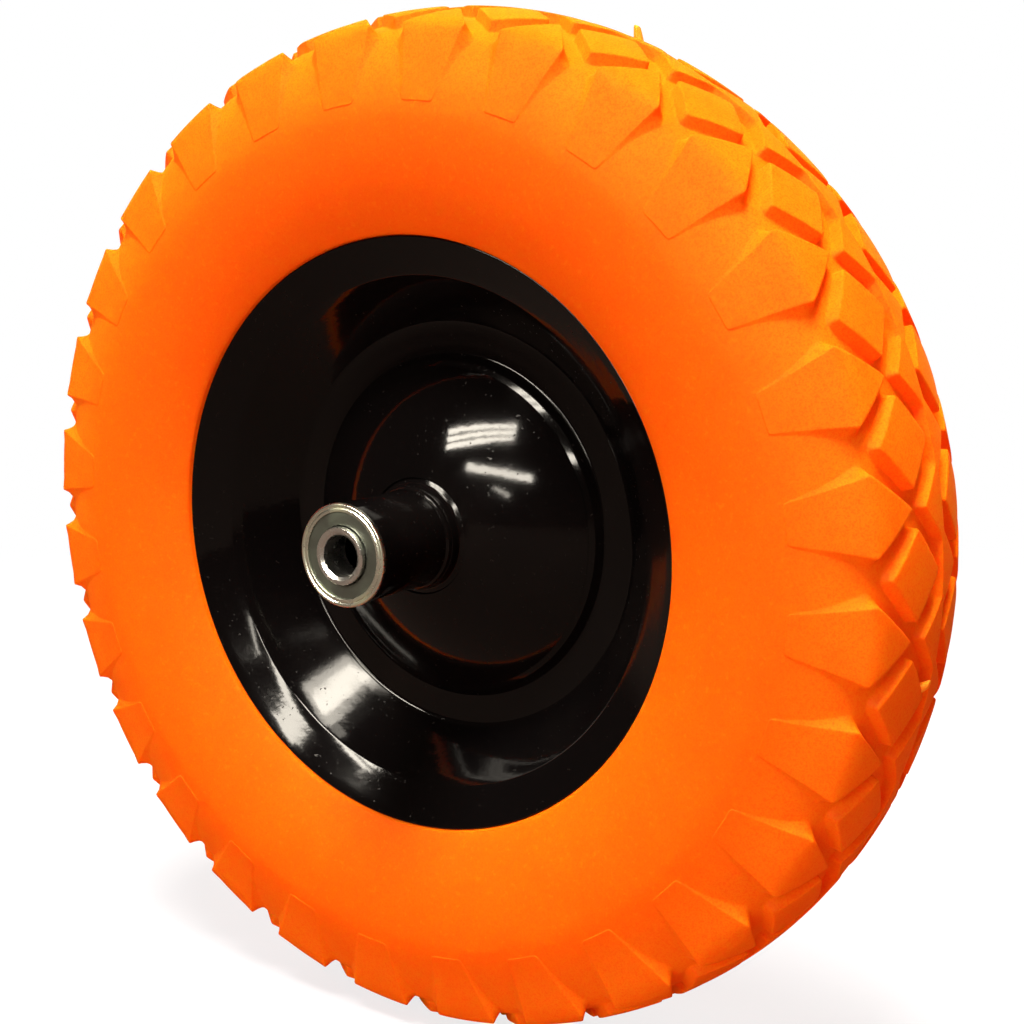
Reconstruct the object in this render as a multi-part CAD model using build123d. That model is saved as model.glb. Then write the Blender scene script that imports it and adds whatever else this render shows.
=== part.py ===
from build123d import *
from math import atan2, cos, hypot, pi, radians, sin, sqrt, tan
import os

# Frame: the axle runs along Y, the near face looks toward -Y, +Z is up, sizes are in mm.

# Tyre
TYRE_RADIUS = 201.7
SHOULDER_HALF_WIDTH = 36.0
SHOULDER_DROP = 8.3
CROWN_BANDS = (0.32, 0.59, 0.82, 1.0)
SIDE_HALF_WIDTH = 46.5
SIDE_FALL_AT_BLOCK_END = 2.9
SIDE_FLAT_TOP_SHARE = 0.72
SIDE_FLAT_FOOT_SHARE = 0.24
SIDE_TOP_ROUNDING_SHARE = 1.0
SIDE_FOOT_ROUNDING_SHARE = 0.45
BEAD_LIP_STAND = 0.6
BEAD_LIP_GAP = 0.3
BEAD_LIP_LAND = 2.4
BEAD_LIP_ROUNDING = 6.0
MOULDED_GAP = 0.05

# Tread
PITCHES = 28
TREAD_START_ANGLE = 4.6
TREAD_DEPTH = 4.3
FLOOR_ROUND_STEPS = (0.22, 0.42, 0.62, 0.82)
FLOOR_SHOULDER_FULLNESS = 1.5
WALL_DRAFT = 9.0
SIDE_WALL_DRAFT = 20.0
SHOULDER_APEX_Y = 19.4
SHOULDER_CORNER_ANGLE = 4.15
SHOULDER_END_ANGLE = 2.4
SHOULDER_BLOCK_DROP = 36.7
SHOULDER_END_STEP = 0.6
FLARE_FOOT_ANGLE = 5.4
FLARE_FOOT_DROP = 1.5
FLARE_FOOT_INSET = 1.8
FLARE_EDGE_INSET = 0.35
DIAMOND_HALF_ANGLE = 4.6
DIAMOND_INNER_Y = 4.2
DIAMOND_OUTER_Y = 30.8
RIB_PEAK_Y = 12.2
RIB_PEAK_HALF_ANGLE = 3.85
RIB_CORE_HALF_WIDTH = 0.9

# Rim
RIM_FLANGE_RADIUS = 116.0
RIM_FLANGE_Y = 34.0
RIM_THICKNESS = 1.5
RIM_SEAT_RADIUS = 101.0
RIM_SEAT_Y = 25.5
RIM_WELL_RADIUS = 82.0
RIM_STEP_RADIUS = 69.5
RIM_STEP_RUN = 2.6
RIM_STEP_RISE = 3.4
DOME_MIDDLE_SHARE = 0.50
DOME_MIDDLE_BULGE = 2.6
DOME_ROUNDING = 40.0
NECK_ROOT_RADIUS = 24.0
NECK_ROOT_Y = 28.4
NECK_END_Y = 33.0
RIM_BEND = 3.0
SMALLEST_BEND = 0.3
HALVES_GAP = 0.04

# Hub
HUB_TUBE_RADIUS = 19.05
HUB_BORE_RADIUS = 17.46
HUB_HALF_LENGTH = 72.2
HUB_FIT_GAP = 0.03
WELD_LEG = 2.4
WELD_CROWN_RISE = 1.5
WELD_CROWN_INSET = 0.5
WELD_ROUNDING = 0.6

# Bearing
AXLE_BORE_RADIUS = 7.94
BORE_CHAMFER = 0.7
INNER_RACE_RADIUS = 10.9
INNER_RACE_PROUD = 1.5
INNER_RACE_LENGTH = 13.2
HOUSING_GAP = 0.02
HOUSING_WALL = 1.2
FLANGE_RADIUS = 19.47
FLANGE_THICKNESS = 2.0
LIP_WIDTH = 3.2
LIP_GROOVE = 0.35
LIP_INNER_ROUNDING = 0.25
LIP_OUTER_ROUNDING = 0.7
HOUSING_FOOT_ROUNDING = 0.8
HOUSING_LENGTH = 11.4
OUTER_RACE_WALL = 1.25
RACE_FIT_GAP = 0.02
BALL_DIAMETER = 4.76
BALL_COUNT = 9
BALL_PATH_RADIUS = 13.05
BALL_PATH_DEPTH = 6.2
BALL_RUNNING_GAP = 0.05
CAGE_THICKNESS = 1.1
CAGE_WIDTH = 6.6
CAGE_POCKET_GAP = 0.12
WASHER_THICKNESS = 0.8
WASHER_RECESS = 0.6
WASHER_SHAFT_GAP = 0.4

PITCH_ANGLE = 360.0 / PITCHES
SHOULDER_END_RADIUS = TYRE_RADIUS - SHOULDER_BLOCK_DROP
NEAR = -1.0
FAR = 1.0


def unit(a, b):
    length = hypot(b[0] - a[0], b[1] - a[1])
    return ((b[0] - a[0]) / length, (b[1] - a[1]) / length)


def rounded_corner(before, corner, after, radius):
    """Tangent points and middle point of the arc that rounds one corner."""
    u = unit(corner, before)
    v = unit(corner, after)
    half = 0.5 * (pi - abs(atan2(u[0] * v[1] - u[1] * v[0], u[0] * v[0] + u[1] * v[1])))
    reach = radius * tan(half)
    start = (corner[0] + u[0] * reach, corner[1] + u[1] * reach)
    end = (corner[0] + v[0] * reach, corner[1] + v[1] * reach)
    bisector = unit((0, 0), (u[0] + v[0], u[1] + v[1]))
    depth = radius / cos(half) - radius
    middle = (corner[0] + bisector[0] * depth, corner[1] + bisector[1] * depth)
    return start, middle, end


def profile_face(points):
    """Closed face from (radius, y, rounding) corners."""
    count = len(points)
    edges = []
    last = None
    first = None
    for i in range(count):
        corner = points[i][:2]
        rounding = points[i][2] if len(points[i]) > 2 else 0
        after = points[(i + 1) % count][:2]
        if rounding:
            start, middle, end = rounded_corner(points[i - 1][:2], corner, after, rounding)
        else:
            start, middle, end = corner, None, corner
        if last is not None:
            edges.append(Line(last, start))
        else:
            first = start
        if middle is not None:
            edges.append(ThreePointArc(start, middle, end))
        last = end
    edges.append(Line(last, first))
    return make_face(edges)


def turned(points):
    """Solid of revolution about the axle from (radius, y, rounding) corners."""
    return revolve(profile_face(points), Axis.Y, 360)


def mirrored(points, side):
    """Points given with y positive outward, put on the near or the far side."""
    return [(p[0], side * p[1], *p[2:]) for p in points]


def crown_radius(y, depth=0.0):
    """Radius of the tread envelope at a place across the tyre, less a depth."""
    arc = (SHOULDER_HALF_WIDTH ** 2 + SHOULDER_DROP ** 2) / (2 * SHOULDER_DROP)
    return TYRE_RADIUS - arc + sqrt((arc - depth) ** 2 - y ** 2)


def crown_points(depth=0.0):
    """Corners of the conical bands that make the crown, from the middle rib to the shoulder."""
    places = [RIB_CORE_HALF_WIDTH] + [share * SHOULDER_HALF_WIDTH for share in CROWN_BANDS]
    return [(crown_radius(y, depth), y) for y in places]


def side_points():
    """Sidewall corners from the end of the shoulder blocks down to the bead lip."""
    end_y = side_y_at_block_end()
    height = SHOULDER_END_RADIUS - RIM_FLANGE_RADIUS
    lip_y = RIM_FLANGE_Y + BEAD_LIP_STAND
    flat_top = RIM_FLANGE_RADIUS + SIDE_FLAT_TOP_SHARE * height
    flat_foot = RIM_FLANGE_RADIUS + SIDE_FLAT_FOOT_SHARE * height
    lip_radius = RIM_FLANGE_RADIUS + BEAD_LIP_GAP
    return [
        (SHOULDER_END_RADIUS, end_y),
        (flat_top, SIDE_HALF_WIDTH, SIDE_TOP_ROUNDING_SHARE * height),
        (flat_foot, SIDE_HALF_WIDTH, SIDE_FOOT_ROUNDING_SHARE * height),
        (lip_radius + BEAD_LIP_LAND, lip_y + 2 * BEAD_LIP_STAND, BEAD_LIP_ROUNDING),
        (lip_radius, lip_y),
    ]


def side_y_at_block_end():
    return SIDE_HALF_WIDTH - SIDE_FALL_AT_BLOCK_END


def floor_points():
    """Groove floor corners from the middle rib over the shoulder to the end of the blocks."""
    crown = crown_points(TREAD_DEPTH)[:-1]
    edge = crown[-1]
    end = (SHOULDER_END_RADIUS, side_y_at_block_end())
    corner_y = SHOULDER_HALF_WIDTH + FLOOR_SHOULDER_FULLNESS
    corner = (crown_radius(SHOULDER_HALF_WIDTH, TREAD_DEPTH), corner_y)
    rounded = []
    for share in FLOOR_ROUND_STEPS:
        a = (1 - share) ** 2
        b = 2 * share * (1 - share)
        c = share ** 2
        radius = a * edge[0] + b * corner[0] + c * end[0]
        y = a * edge[1] + b * corner[1] + c * end[1]
        rounded.append((radius, y))
    return crown + rounded


def carcass():
    """Tyre body at the level of the groove floors, moulded round the rim channel."""
    half = floor_points() + side_points() + channel_points()
    near = mirrored(half, NEAR)
    far = mirrored(half, FAR)
    return turned(far[:-1] + near[::-1])


def channel_points():
    """Inside of the tyre along the back of one rim half, from the flange edge to the middle plane."""
    depth = RIM_THICKNESS + MOULDED_GAP
    back = rim_back_points(depth)
    lip_radius = RIM_FLANGE_RADIUS + BEAD_LIP_GAP
    share = back[2][1] / (back[1][1] - back[2][1])
    floor_radius = back[2][0] - share * (back[1][0] - back[2][0])
    return [(lip_radius, back[0][1]), back[1], (floor_radius, 0.0)]


def rim_front_points():
    """Outer face of one rim half as corners, y positive outward, from the flange edge to the neck."""
    well_y = RIM_THICKNESS + HALVES_GAP / 2
    step_y = well_y + RIM_STEP_RISE
    step_r = RIM_STEP_RADIUS - RIM_STEP_RUN
    middle_r = step_r + (NECK_ROOT_RADIUS - step_r) * DOME_MIDDLE_SHARE
    middle_y = step_y + (NECK_ROOT_Y - step_y) * DOME_MIDDLE_SHARE + DOME_MIDDLE_BULGE
    neck_r = HUB_TUBE_RADIUS + HUB_FIT_GAP + RIM_THICKNESS
    return [
        (RIM_FLANGE_RADIUS, RIM_FLANGE_Y),
        (RIM_SEAT_RADIUS, RIM_SEAT_Y, RIM_BEND),
        (RIM_WELL_RADIUS, well_y, RIM_BEND),
        (RIM_STEP_RADIUS, well_y, RIM_BEND / 2),
        (step_r, step_y, RIM_BEND / 2),
        (middle_r, middle_y, DOME_ROUNDING),
        (neck_r, NECK_ROOT_Y, RIM_BEND),
        (neck_r, NECK_END_Y),
    ]


def offset_points(points, distance):
    """Corners of a run moved sideways by a distance, to the left of its direction."""
    moved = []
    for i, point in enumerate(points):
        lines = []
        if i > 0:
            lines.append(unit(points[i - 1], point))
        if i < len(points) - 1:
            lines.append(unit(point, points[i + 1]))
        if len(lines) == 1:
            normal = (-lines[0][1], lines[0][0])
            shift = (normal[0] * distance, normal[1] * distance)
        else:
            n0 = (-lines[0][1], lines[0][0])
            n1 = (-lines[1][1], lines[1][0])
            scale = distance / (1 + n0[0] * n1[0] + n0[1] * n1[1])
            shift = ((n0[0] + n1[0]) * scale, (n0[1] + n1[1]) * scale)
        moved.append((point[0] + shift[0], point[1] + shift[1], *point[2:]))
    return moved


def rim_back_points(thickness):
    """Face of one rim half that looks to the tyre and to the other half, with its bend radii."""
    front = rim_front_points()
    back = offset_points(front, thickness)
    along = unit(front[0], front[1])
    slide = (RIM_FLANGE_RADIUS - back[0][0]) / along[0]
    changed = [(RIM_FLANGE_RADIUS, back[0][1] + slide * along[1])]
    for i in range(1, len(back) - 1):
        a = unit(front[i - 1], front[i])
        b = unit(front[i], front[i + 1])
        inside_bend = a[0] * b[1] - a[1] * b[0] > 0
        bend = front[i][2] - thickness if inside_bend else front[i][2] + thickness
        changed.append((back[i][0], back[i][1], max(bend, SMALLEST_BEND)))
    return changed + [back[-1]]


def rim_half(side):
    """Stamped half of the rim with flange, seat, well, step, dome and neck."""
    front = rim_front_points()
    outline = front + rim_back_points(RIM_THICKNESS)[::-1]
    return turned(mirrored(outline, side))


def hub_tube():
    """Plain tube through both rim halves."""
    ring = Circle(HUB_TUBE_RADIUS) - Circle(HUB_BORE_RADIUS)
    tube = extrude(ring, HUB_HALF_LENGTH, both=True)
    return Rot(90, 0, 0) * tube


def hub_weld(side):
    """Fillet weld that closes the end of the rim neck on the tube."""
    inner = HUB_TUBE_RADIUS + HUB_FIT_GAP
    neck = inner + RIM_THICKNESS
    crown = (neck - WELD_CROWN_INSET, NECK_END_Y + WELD_CROWN_RISE, WELD_ROUNDING)
    points = [
        (inner, NECK_END_Y + HUB_FIT_GAP),
        (neck, NECK_END_Y + HUB_FIT_GAP),
        crown,
        (inner, NECK_END_Y + WELD_LEG),
    ]
    return turned(mirrored(points, side))


def pitch_place(half_steps):
    """Turn that carries a piece at the top to its pitch place, in half pitches."""
    return Rot(0, TREAD_START_ANGLE + half_steps * PITCH_ANGLE / 2, 0)


def envelope():
    """Sector of the full tread, wide enough for one block, that every block is cut from."""
    end = (SHOULDER_END_RADIUS, side_y_at_block_end() + SHOULDER_END_STEP)
    half = crown_points() + [end]
    inside = (SHOULDER_END_RADIUS - TREAD_DEPTH, 0.0)
    outline = mirrored(half, FAR) + [inside] + mirrored(half, NEAR)[::-1]
    sector = revolve(profile_face(outline), Axis.Y, 2 * PITCH_ANGLE)
    return Rot(0, -90 - PITCH_ANGLE, 0) * sector


def arc_width(radius, angle):
    return radius * sin(radians(angle))


def frustum(plane, outline, height, draft):
    """Flat sided solid from an outline, growing by the draft on its way down from the plane."""
    count = len(outline)
    spread = height * tan(radians(draft))
    wide = []
    for i, point in enumerate(outline):
        before = unit(outline[i - 1], point)
        after = unit(point, outline[(i + 1) % count])
        n0 = (before[1], -before[0])
        n1 = (after[1], -after[0])
        scale = spread / (1 + n0[0] * n1[0] + n0[1] * n1[1])
        wide.append((point[0] + (n0[0] + n1[0]) * scale, point[1] + (n0[1] + n1[1]) * scale))
    top = [plane.from_local_coords((x, y, 0)) for x, y in outline]
    foot = [plane.from_local_coords((x, y, -height)) for x, y in wide]
    faces = [Face(Wire.make_polygon(top)), Face(Wire.make_polygon(foot))]
    for i in range(count):
        j = (i + 1) % count
        faces.append(Face(Wire.make_polygon([top[i], top[j], foot[j], foot[i]])))
    return Solid(Shell(faces))


def four_sided(corners):
    """Solid with four flat faces between four corners."""
    faces = []
    for i in range(4):
        rest = corners[:i] + corners[i + 1:]
        faces.append(Face(Wire.make_polygon(rest)))
    return Solid(Shell(faces))


def block_prism(outline):
    """Drafted prism that stands on the tread, drawn at the top of the tyre."""
    height = TYRE_RADIUS - SHOULDER_END_RADIUS + TREAD_DEPTH
    return frustum(Plane((0, 0, TYRE_RADIUS)), outline, height, WALL_DRAFT)


def side_flare(corner_x, end_x, hand):
    """Spread foot of one side wall, widest at the edge of the tread and gone at the end of the block."""
    edge = FLARE_EDGE_INSET
    shoulder_radius = crown_radius(SHOULDER_HALF_WIDTH)
    foot_radius = shoulder_radius - TREAD_DEPTH - FLARE_FOOT_DROP
    foot_y = SHOULDER_HALF_WIDTH - FLARE_FOOT_INSET
    end_y = side_y_at_block_end() + SHOULDER_END_STEP
    corner = (hand * (corner_x - edge), edge - SHOULDER_HALF_WIDTH, shoulder_radius - edge)
    foot = (hand * arc_width(foot_radius, FLARE_FOOT_ANGLE), -foot_y, foot_radius)
    end = (hand * (end_x - edge), edge - end_y, SHOULDER_END_RADIUS + edge)
    inside = (0, 2 * TREAD_DEPTH - SHOULDER_HALF_WIDTH, SHOULDER_END_RADIUS + TREAD_DEPTH)
    return four_sided([corner, foot, end, inside])


def shoulder_block():
    """Five sided shoulder block that runs over the edge of the tread and down the sidewall."""
    corner_x = arc_width(crown_radius(SHOULDER_HALF_WIDTH), SHOULDER_CORNER_ANGLE)
    corner_growth = SHOULDER_DROP * tan(radians(WALL_DRAFT))
    apex_growth = (TYRE_RADIUS - crown_radius(SHOULDER_APEX_Y)) * tan(radians(WALL_DRAFT))
    x = corner_x - corner_growth
    y_out = SIDE_HALF_WIDTH + TREAD_DEPTH
    crown_outline = [
        (-x, -SHOULDER_HALF_WIDTH),
        (-x, -y_out),
        (x, -y_out),
        (x, -SHOULDER_HALF_WIDTH),
        (0, -SHOULDER_APEX_Y - apex_growth),
    ]
    crown = block_prism(crown_outline)
    end_x = arc_width(SHOULDER_END_RADIUS, SHOULDER_END_ANGLE)
    end_y = side_y_at_block_end() + SHOULDER_END_STEP
    side_growth = (end_y - SHOULDER_HALF_WIDTH) * tan(radians(SIDE_WALL_DRAFT))
    height = crown_radius(SHOULDER_HALF_WIDTH) - SHOULDER_END_RADIUS
    slope = (corner_x - end_x - side_growth) / height
    up = TYRE_RADIUS + TREAD_DEPTH - SHOULDER_END_RADIUS
    down = TREAD_DEPTH
    side_outline = [
        (-end_x + slope * down, SHOULDER_END_RADIUS - down),
        (end_x - slope * down, SHOULDER_END_RADIUS - down),
        (end_x + slope * up, SHOULDER_END_RADIUS + up),
        (-end_x - slope * up, SHOULDER_END_RADIUS + up),
    ]
    plane = Plane(origin=(0, -end_y, 0), x_dir=(1, 0, 0), z_dir=(0, -1, 0))
    side = frustum(plane, side_outline, end_y - SHOULDER_APEX_Y / 2, SIDE_WALL_DRAFT)
    block = crown & side & envelope()
    return block.fuse(side_flare(corner_x, end_x, 1), side_flare(corner_x, end_x, -1))


def diamond_block():
    """Four sided block between the shoulder blocks and the middle rib."""
    middle = 0.5 * (DIAMOND_INNER_Y + DIAMOND_OUTER_Y)
    x = arc_width(crown_radius(middle), DIAMOND_HALF_ANGLE)
    outline = [(0, -DIAMOND_OUTER_Y), (x, -middle), (0, -DIAMOND_INNER_Y), (-x, -middle)]
    return block_prism(outline) & envelope()


def rib_peak():
    """Three sided peak on one side of the middle rib."""
    x = arc_width(TYRE_RADIUS, RIB_PEAK_HALF_ANGLE)
    outline = [(0, -RIB_PEAK_Y), (x, 0.0), (-x, 0.0)]
    return block_prism(outline) & envelope()


def rib_core():
    """Plain ring that joins the peaks of the middle rib."""
    inner = crown_radius(0, TREAD_DEPTH) - TREAD_DEPTH
    half = RIB_CORE_HALF_WIDTH
    foot = half + 2 * TREAD_DEPTH * tan(radians(WALL_DRAFT))
    points = [(TYRE_RADIUS, -half), (TYRE_RADIUS, half), (inner, foot), (inner, -foot)]
    return turned(points)


def tyre():
    """Solid foam tyre with its whole tread."""
    near_blocks = [(shoulder_block(), 0), (diamond_block(), 1), (rib_peak(), 0)]
    turn_over = Rot(0, 0, 180)
    pieces = []
    for block, place in near_blocks:
        far_block = turn_over * block
        for i in range(PITCHES):
            pieces.append(pitch_place(2 * i + place) * block)
            pieces.append(pitch_place(2 * i + place + 1) * far_block)
    return carcass().fuse(rib_core(), *pieces)


def face_y(inset=0.0):
    """Place of the outer face of the bearing flange, less an inset toward the middle."""
    return HUB_HALF_LENGTH + FLANGE_THICKNESS - inset


def housing_bore():
    return HUB_BORE_RADIUS - HOUSING_GAP - HOUSING_WALL


def bearing_housing(side):
    """Pressed steel cup with the rolled flange that rests on the end of the tube."""
    outer = HUB_BORE_RADIUS - HOUSING_GAP
    bore = housing_bore()
    back = face_y(HOUSING_LENGTH + FLANGE_THICKNESS)
    lip = FLANGE_RADIUS - LIP_WIDTH / 2
    front = face_y()
    points = [
        (bore, front, LIP_INNER_ROUNDING),
        (lip - LIP_GROOVE, front),
        (lip, front - LIP_GROOVE),
        (lip + LIP_GROOVE, front),
        (FLANGE_RADIUS, front, LIP_OUTER_ROUNDING),
        (FLANGE_RADIUS, HUB_HALF_LENGTH),
        (outer, HUB_HALF_LENGTH),
        (outer, back, HOUSING_FOOT_ROUNDING),
        (bore - OUTER_RACE_WALL, back),
        (bore - OUTER_RACE_WALL, back + HOUSING_WALL),
        (bore, back + HOUSING_WALL),
    ]
    return turned(mirrored(points, side))


def ball_y():
    return face_y(BALL_PATH_DEPTH)


def groove_ring(side):
    """Ring that cuts the ball path into both races."""
    path = Circle(BALL_DIAMETER / 2 + BALL_RUNNING_GAP)
    place = Location((BALL_PATH_RADIUS, side * ball_y(), 0))
    return revolve(place * path, Axis.Y, 360)


def outer_race(side):
    """Hard ring pressed into the housing, with half of the ball path."""
    outer = housing_bore() - RACE_FIT_GAP
    inner = housing_bore() - OUTER_RACE_WALL
    top = face_y(WASHER_RECESS + WASHER_THICKNESS)
    bottom = face_y(HOUSING_LENGTH + FLANGE_THICKNESS) + HOUSING_WALL
    ring = turned(mirrored([(inner, bottom), (outer, bottom), (outer, top), (inner, top)], side))
    return ring - groove_ring(side)


def inner_race(side):
    """Hard sleeve on the axle, standing proud of the flange."""
    end = face_y() + INNER_RACE_PROUD
    start = end - INNER_RACE_LENGTH
    points = [
        (AXLE_BORE_RADIUS, start),
        (INNER_RACE_RADIUS, start),
        (INNER_RACE_RADIUS, end - BORE_CHAMFER / 2),
        (INNER_RACE_RADIUS - BORE_CHAMFER / 2, end),
        (AXLE_BORE_RADIUS + BORE_CHAMFER, end),
        (AXLE_BORE_RADIUS, end - BORE_CHAMFER),
    ]
    return turned(mirrored(points, side)) - groove_ring(side)


def ball_places(side):
    step = 360.0 / BALL_COUNT
    first = Pos(0, side * ball_y(), BALL_PATH_RADIUS)
    return [Rot(0, i * step, 0) * first for i in range(BALL_COUNT)]


def balls(side):
    """All the balls of one bearing as separate solids."""
    return [place * Sphere(BALL_DIAMETER / 2) for place in ball_places(side)]


def ball_cage(side):
    """Ring with a pocket for each ball."""
    inner = BALL_PATH_RADIUS - CAGE_THICKNESS / 2
    outer = BALL_PATH_RADIUS + CAGE_THICKNESS / 2
    low = ball_y() - CAGE_WIDTH / 2
    high = ball_y() + CAGE_WIDTH / 2
    ring = turned(mirrored([(inner, low), (outer, low), (outer, high), (inner, high)], side))
    pocket = Sphere(BALL_DIAMETER / 2 + CAGE_POCKET_GAP)
    return ring.cut(*[place * pocket for place in ball_places(side)])


def dust_washer(side):
    """Flat washer set in the mouth of the housing."""
    inner = INNER_RACE_RADIUS + WASHER_SHAFT_GAP
    outer = housing_bore() - RACE_FIT_GAP
    front = face_y(WASHER_RECESS)
    back = front - WASHER_THICKNESS
    return turned(mirrored([(inner, back), (outer, back), (outer, front), (inner, front)], side))


def save(name, shape):
    solids = list(shape) if isinstance(shape, list) else shape.solids()
    body = solids[0] if len(solids) == 1 else Compound(children=solids)
    export_step(body, f"parts/{name}.step")


def main():
    os.makedirs("parts", exist_ok=True)
    save("tyre", tyre())
    save("hub_tube", hub_tube())
    for name, side in (("near", NEAR), ("far", FAR)):
        save(f"{name}_rim_half", rim_half(side))
        save(f"{name}_hub_weld", hub_weld(side))
        save(f"{name}_bearing_housing", bearing_housing(side))
        save(f"{name}_outer_race", outer_race(side))
        save(f"{name}_inner_race", inner_race(side))
        save(f"{name}_balls", balls(side))
        save(f"{name}_ball_cage", ball_cage(side))
        save(f"{name}_dust_washer", dust_washer(side))


main()
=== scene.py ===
"""Looks of the foam wheelbarrow wheel: block tread, gloss black rim and flanged hub bearings."""
from __future__ import annotations

import logging
import math
from dataclasses import dataclass
from enum import Enum
from typing import Sequence

import bmesh
import bpy
import numpy as np
from mathutils import Matrix, Vector
from mathutils.geometry import delaunay_2d_cdt

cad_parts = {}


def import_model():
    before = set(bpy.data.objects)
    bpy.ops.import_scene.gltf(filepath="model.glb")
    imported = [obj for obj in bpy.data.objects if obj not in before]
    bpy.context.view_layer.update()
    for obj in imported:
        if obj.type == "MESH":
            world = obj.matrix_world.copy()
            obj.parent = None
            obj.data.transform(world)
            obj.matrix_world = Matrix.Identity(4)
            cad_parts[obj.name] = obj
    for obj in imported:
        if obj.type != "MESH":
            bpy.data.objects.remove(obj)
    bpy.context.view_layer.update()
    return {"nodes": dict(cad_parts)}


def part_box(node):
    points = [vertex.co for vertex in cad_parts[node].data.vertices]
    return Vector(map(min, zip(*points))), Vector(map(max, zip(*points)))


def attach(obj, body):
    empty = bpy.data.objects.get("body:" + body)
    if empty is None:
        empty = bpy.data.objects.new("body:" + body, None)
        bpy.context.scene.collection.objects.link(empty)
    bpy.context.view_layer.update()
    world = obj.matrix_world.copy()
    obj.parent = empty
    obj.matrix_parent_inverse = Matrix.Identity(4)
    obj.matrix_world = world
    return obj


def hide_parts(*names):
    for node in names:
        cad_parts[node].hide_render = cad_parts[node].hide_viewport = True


log = logging.getLogger("wheel")

MM = 0.001
SHARP_EDGE = math.radians(32)
WELD_DISTANCE = 1e-6
BOX_GAP = 0.03
Point = tuple[float, float]
Corner = tuple[float, float, float]
Triple = tuple[float, float, float]
Colour = tuple[float, float, float, float]


class Side(Enum):
    """Which face of the wheel a piece belongs to."""

    NEAR = -1.0
    FAR = 1.0

    @property
    def prefix(self) -> str:
        """Start of the names of this side's pieces and nodes."""
        return self.name.lower()


# Shader maths


class Signal:
    """One value of a shader, written in expressions that add Math nodes."""

    def __init__(self, sheet: "Sheet", socket: bpy.types.NodeSocket) -> None:
        """Keeps the node sheet and the socket that gives the value."""
        self.sheet = sheet
        self.socket = socket

    def _math(self, operation: str, *values: "Signal | float") -> "Signal":
        """Adds one Math node.

        Args:
            operation: the node's operation.
            values: its inputs in order.

        Returns:
            The node's result.
        """
        return self.sheet.add("ShaderNodeMath", {"operation": operation}, dict(enumerate(values)))

    def __add__(self, other: "Signal | float") -> "Signal":
        """Sum of two values."""
        return self._math("ADD", self, other)

    __radd__ = __add__

    def __sub__(self, other: "Signal | float") -> "Signal":
        """This value less another."""
        return self._math("SUBTRACT", self, other)

    def __rsub__(self, other: float) -> "Signal":
        """A number less this value."""
        return self._math("SUBTRACT", other, self)

    def __mul__(self, other: "Signal | float") -> "Signal":
        """Product of two values."""
        return self._math("MULTIPLY", self, other)

    def power(self, exponent: float) -> "Signal":
        """This value raised to a power."""
        return self._math("POWER", self, exponent)

    def sine(self) -> "Signal":
        """Sine of this value."""
        return self._math("SINE", self)

    def step(self, low: float, high: float) -> "Signal":
        """Smooth rise from 0 at one value to 1 at another.

        Args:
            low: where the rise starts.
            high: where it ends, which may be below the start.

        Returns:
            The rise, kept between 0 and 1.
        """
        settings = {"interpolation_type": "SMOOTHSTEP", "clamp": True}
        values = {"Value": self, "From Min": low, "From Max": high}
        return self.sheet.add("ShaderNodeMapRange", settings, values)


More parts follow.
